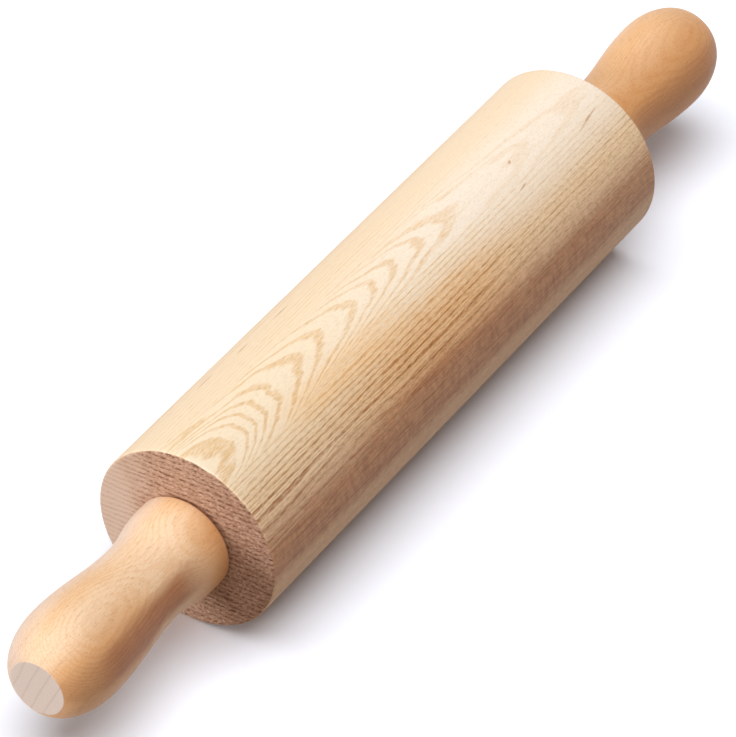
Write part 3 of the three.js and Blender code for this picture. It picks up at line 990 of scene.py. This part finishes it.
def crown_cage(name, sign):
    """A ring with a round pocket for each ball, open on one side, and fingers between the balls."""
    shape = bmesh.new()
    drops = [math.radians(180 - (180 - LIP_TURN) * j / FINGER_ROWS) for j in range(FINGER_ROWS + 1)]
    levels = [(CAGE_BACK, 0.0)]
    levels += [(POCKET_RADIUS * math.cos(t), POCKET_RADIUS * math.sin(t)) for t in drops]
    pitch = 2 * math.pi / BALL_COUNT
    first_ball = 0.0 if sign > 0 else math.pi

    def corner(level, column, radius, finger):
        along, half_pocket = level
        start = math.asin(half_pocket / radius)
        turn = first_ball + finger * pitch + start + (pitch - 2 * start) * column / FINGER_COLUMNS
        x = sign * (BEARING_PLACE + along)
        y = radius * math.cos(turn)
        z = AXIS_HEIGHT + radius * math.sin(turn)
        return shape.verts.new((MM * x, MM * y, MM * z))

    for finger in range(BALL_COUNT):
        inner, outer = [
            [[corner(level, k, radius, finger) for k in range(FINGER_COLUMNS + 1)] for level in levels]
            for radius in CAGE_RADII
        ]
        for j in range(len(levels) - 1):
            for wall in (inner, outer):
                for k in range(FINGER_COLUMNS):
                    shape.faces.new((wall[j][k], wall[j][k + 1], wall[j + 1][k + 1], wall[j + 1][k]))
            for k in (0, FINGER_COLUMNS) if j else ():
                shape.faces.new((inner[j][k], inner[j + 1][k], outer[j + 1][k], outer[j][k]))
        for j in (0, -1):
            for k in range(FINGER_COLUMNS):
                shape.faces.new((inner[j][k], inner[j][k + 1], outer[j][k + 1], outer[j][k]))
    bmesh.ops.remove_doubles(shape, verts=shape.verts, dist=SAME_POINT * MM)
    return piece_of(name, shape)


def snap_ring_loops():
    """The flat outline of a snap ring, open at the bottom between two eyelets, and the eyelets' holes."""
    reach = SNAP_INNER + EYELET_RADIUS
    turn = SNAP_OPENING / 2 + math.degrees(EYELET_RADIUS / SNAP_OUTER)
    eyelets = arc((0.0, 0.0), reach, -turn, turn, 1)
    opposite = reach ** 2 + SNAP_OUTER ** 2 - EYELET_RADIUS ** 2
    crossing = turn + math.degrees(math.acos(opposite / (2 * reach * SNAP_OUTER)))
    meeting = arc((0.0, 0.0), SNAP_OUTER, crossing, crossing, 1)[0]
    leaving = math.degrees(math.atan2(meeting[1] - eyelets[1][1], meeting[0] - eyelets[1][0]))
    outline = arc((0.0, 0.0), SNAP_OUTER, crossing, 360 - crossing, HARDWARE_SIDES)
    outline += arc(eyelets[0], EYELET_RADIUS, -leaving, 180 - turn, GROOVE_STEPS)
    outline += arc((0.0, 0.0), SNAP_INNER, 360 - turn, turn, HARDWARE_SIDES)
    outline += arc(eyelets[1], EYELET_RADIUS, turn - 180, leaving, GROOVE_STEPS)
    holes = [arc(middle, EYELET_HOLE, 0, 360, GROOVE_STEPS) for middle in eyelets]
    return [without_doubles(loop)[:-1] for loop in (outline, *holes)]


def snap_ring(name, sign):
    shape = bmesh.new()
    start = sign * SNAP_PLACE - SNAP_THICKNESS / 2
    for loop in snap_ring_loops():
        corners = [shape.verts.new((start * MM, y * MM, (AXIS_HEIGHT - down) * MM)) for down, y in loop]
        for first, second in zip(corners, corners[1:] + corners[:1]):
            shape.edges.new((first, second))
    bmesh.ops.triangle_fill(shape, use_beauty=True, edges=shape.edges[:])
    raised = bmesh.ops.extrude_face_region(shape, geom=shape.faces[:], use_keep_orig=True)
    moved = [part for part in raised["geom"] if isinstance(part, bmesh.types.BMVert)]
    bmesh.ops.translate(shape, verts=moved, vec=(SNAP_THICKNESS * MM, 0.0, 0.0))
    return piece_of(name, shape)


def hardware_ring(name, sign, outline, middle=0.0):
    """A turned ring at one end of the pin, from an outline whose places are measured from the middle."""
    placed = [(sign * (middle + along), radius) for along, radius in outline]
    return turned(name, placed, HARDWARE_SIDES, closed=True)


def make_races(side, sign, steel):
    outer = hardware_ring(side + "_outer_race", sign, outer_ring_outline(), BEARING_PLACE)
    dress(outer, steel, "bearing_steel", "barrel", side + "_bearing_outer_ring")
    inner = hardware_ring(side + "_inner_race", sign, inner_ring_outline(), BEARING_PLACE)
    dress(inner, steel, "bearing_steel", "axle", side + "_bearing_inner_ring")


def make_shields(side, sign, steel):
    outline = sleeve_outline(SHIELD_FACES, SHIELD_RADII, SHIELD_CHAMFER)
    outer = hardware_ring(side + "_outer_dust_shield", sign, outline, BEARING_PLACE)
    dress(outer, steel, "shield_steel", "barrel", side + "_outer_shield")
    turned_round = [(-along, radius) for along, radius in outline]
    inner = hardware_ring(side + "_inner_dust_shield", sign, turned_round, BEARING_PLACE)
    dress(inner, steel, "shield_steel", "barrel", side + "_inner_shield")


def make_spacer(side, sign, steel):
    outline = sleeve_outline(SPACER_ENDS, SPACER_RADII, SPACER_CHAMFER)
    spacer = hardware_ring(side + "_steel_spacer", sign, outline)
    dress(spacer, steel, "axle_steel", "axle", side + "_spacer")


def make_balls(side, steel):
    """The balls of one bearing, each in the middle of its solid."""
    for number in range(1, BALL_COUNT + 1):
        node = side + "_ball_" + str(number)
        low, high = [Vector(corner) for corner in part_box(node)]
        steel_ball = ball(side + "_steel_ball_" + str(number), (low + high) / 2)
        dress(steel_ball, steel, "bearing_steel", side + "_balls", node)


def make_hardware():
    """The steel and nylon inside the pin: axle, bearings, snap rings and spacers."""
    bearing_steel = metal("bearing_steel", colour(214, 216, 220), roughness=0.16, streak=0.35)
    axle_steel = metal("axle_steel", colour(190, 192, 196), roughness=0.32, streak=0.5)
    shield_steel = metal("shield_steel", colour(200, 202, 205), roughness=0.26, streak=0.5)
    spring_steel = metal("spring_steel", colour(92, 94, 98), roughness=0.36, streak=0.4)
    cage_nylon = nylon()
    axle = turned("steel_axle", axle_outline(), HARDWARE_SIDES)
    dress(axle, axle_steel, "axle_steel", "axle", "axle_rod")
    for side, sign in ENDS:
        make_races(side, sign, bearing_steel)
        make_shields(side, sign, shield_steel)
        make_spacer(side, sign, axle_steel)
        retainer = snap_ring(side + "_snap_ring", sign)
        dress(retainer, spring_steel, "spring_steel", "axle", side + "_retaining_ring")
        cage = crown_cage(side + "_nylon_cage", sign)
        dress(cage, cage_nylon, "cage_plastic", side + "_balls", side + "_cage")
        make_balls(side, bearing_steel)


def make_floor():
    """A pale floor that shows white to the camera where the light falls on it, and keeps the shadow."""
    finish = Finish(bpy.data.materials.new("studio_floor"))
    tone = finish.blend(finish.shown(), FLOOR_TONE, FLOOR_SHOWN)
    diffuse = finish.node("ShaderNodeBsdfDiffuse", None, {"Color": tone})
    finish.node("ShaderNodeOutputMaterial", None, {"Surface": diffuse})
    mesh = bpy.data.meshes.new("studio_floor")
    corners = [(-1, -1, 0), (1, -1, 0), (1, 1, 0), (-1, 1, 0)]
    mesh.from_pydata([(FLOOR_REACH * x, FLOOR_REACH * y, z) for x, y, z in corners], [], [(0, 1, 2, 3)])
    mesh.materials.append(finish.owner)
    floor = bpy.data.objects.new("studio_floor", mesh)
    bpy.context.scene.collection.objects.link(floor)


def make_sun(name, towards, strength, spread):
    lamp = bpy.data.lights.new(name, "SUN")
    lamp.energy = strength
    lamp.angle = math.radians(spread)
    sun = bpy.data.objects.new(name, lamp)
    sun.rotation_euler = Vector(towards).to_track_quat("Z", "Y").to_euler()
    bpy.context.scene.collection.objects.link(sun)


def make_light():
    make_sun("key_light", KEY_TOWARDS, KEY_STRENGTH, KEY_SPREAD)
    make_sun("end_light", END_TOWARDS, END_STRENGTH, END_SPREAD)
    world = bpy.data.worlds.new("studio")
    bpy.context.scene.world = world
    finish = Finish(world)
    dim = {"Color": AMBIENT_TONE, "Strength": AMBIENT_STRENGTH}
    white = {"Color": WHITE, "Strength": 1.0}
    ambient = finish.node("ShaderNodeBackground", None, dim)
    backdrop = finish.node("ShaderNodeBackground", None, white)
    mixed = finish.node("ShaderNodeMixShader", None, {0: finish.shown(), 1: ambient, 2: backdrop})
    finish.node("ShaderNodeOutputWorld", None, {"Surface": mixed})


def make_camera():
    lens = bpy.data.cameras.new("photograph_view")
    lens.sensor_width = SENSOR
    lens.lens = LENS
    camera = bpy.data.objects.new("photograph_view", lens)
    camera.location = CAMERA_PLACE
    aim = Vector(CAMERA_AIM) - Vector(CAMERA_PLACE)
    camera.rotation_euler = aim.to_track_quat("-Z", "Y").to_euler()
    bpy.context.scene.collection.objects.link(camera)
    bpy.context.scene.camera = camera


make_pin()
make_hardware()
make_floor()
make_light()
make_camera()
bpy.context.scene.view_settings.view_transform = "Standard"
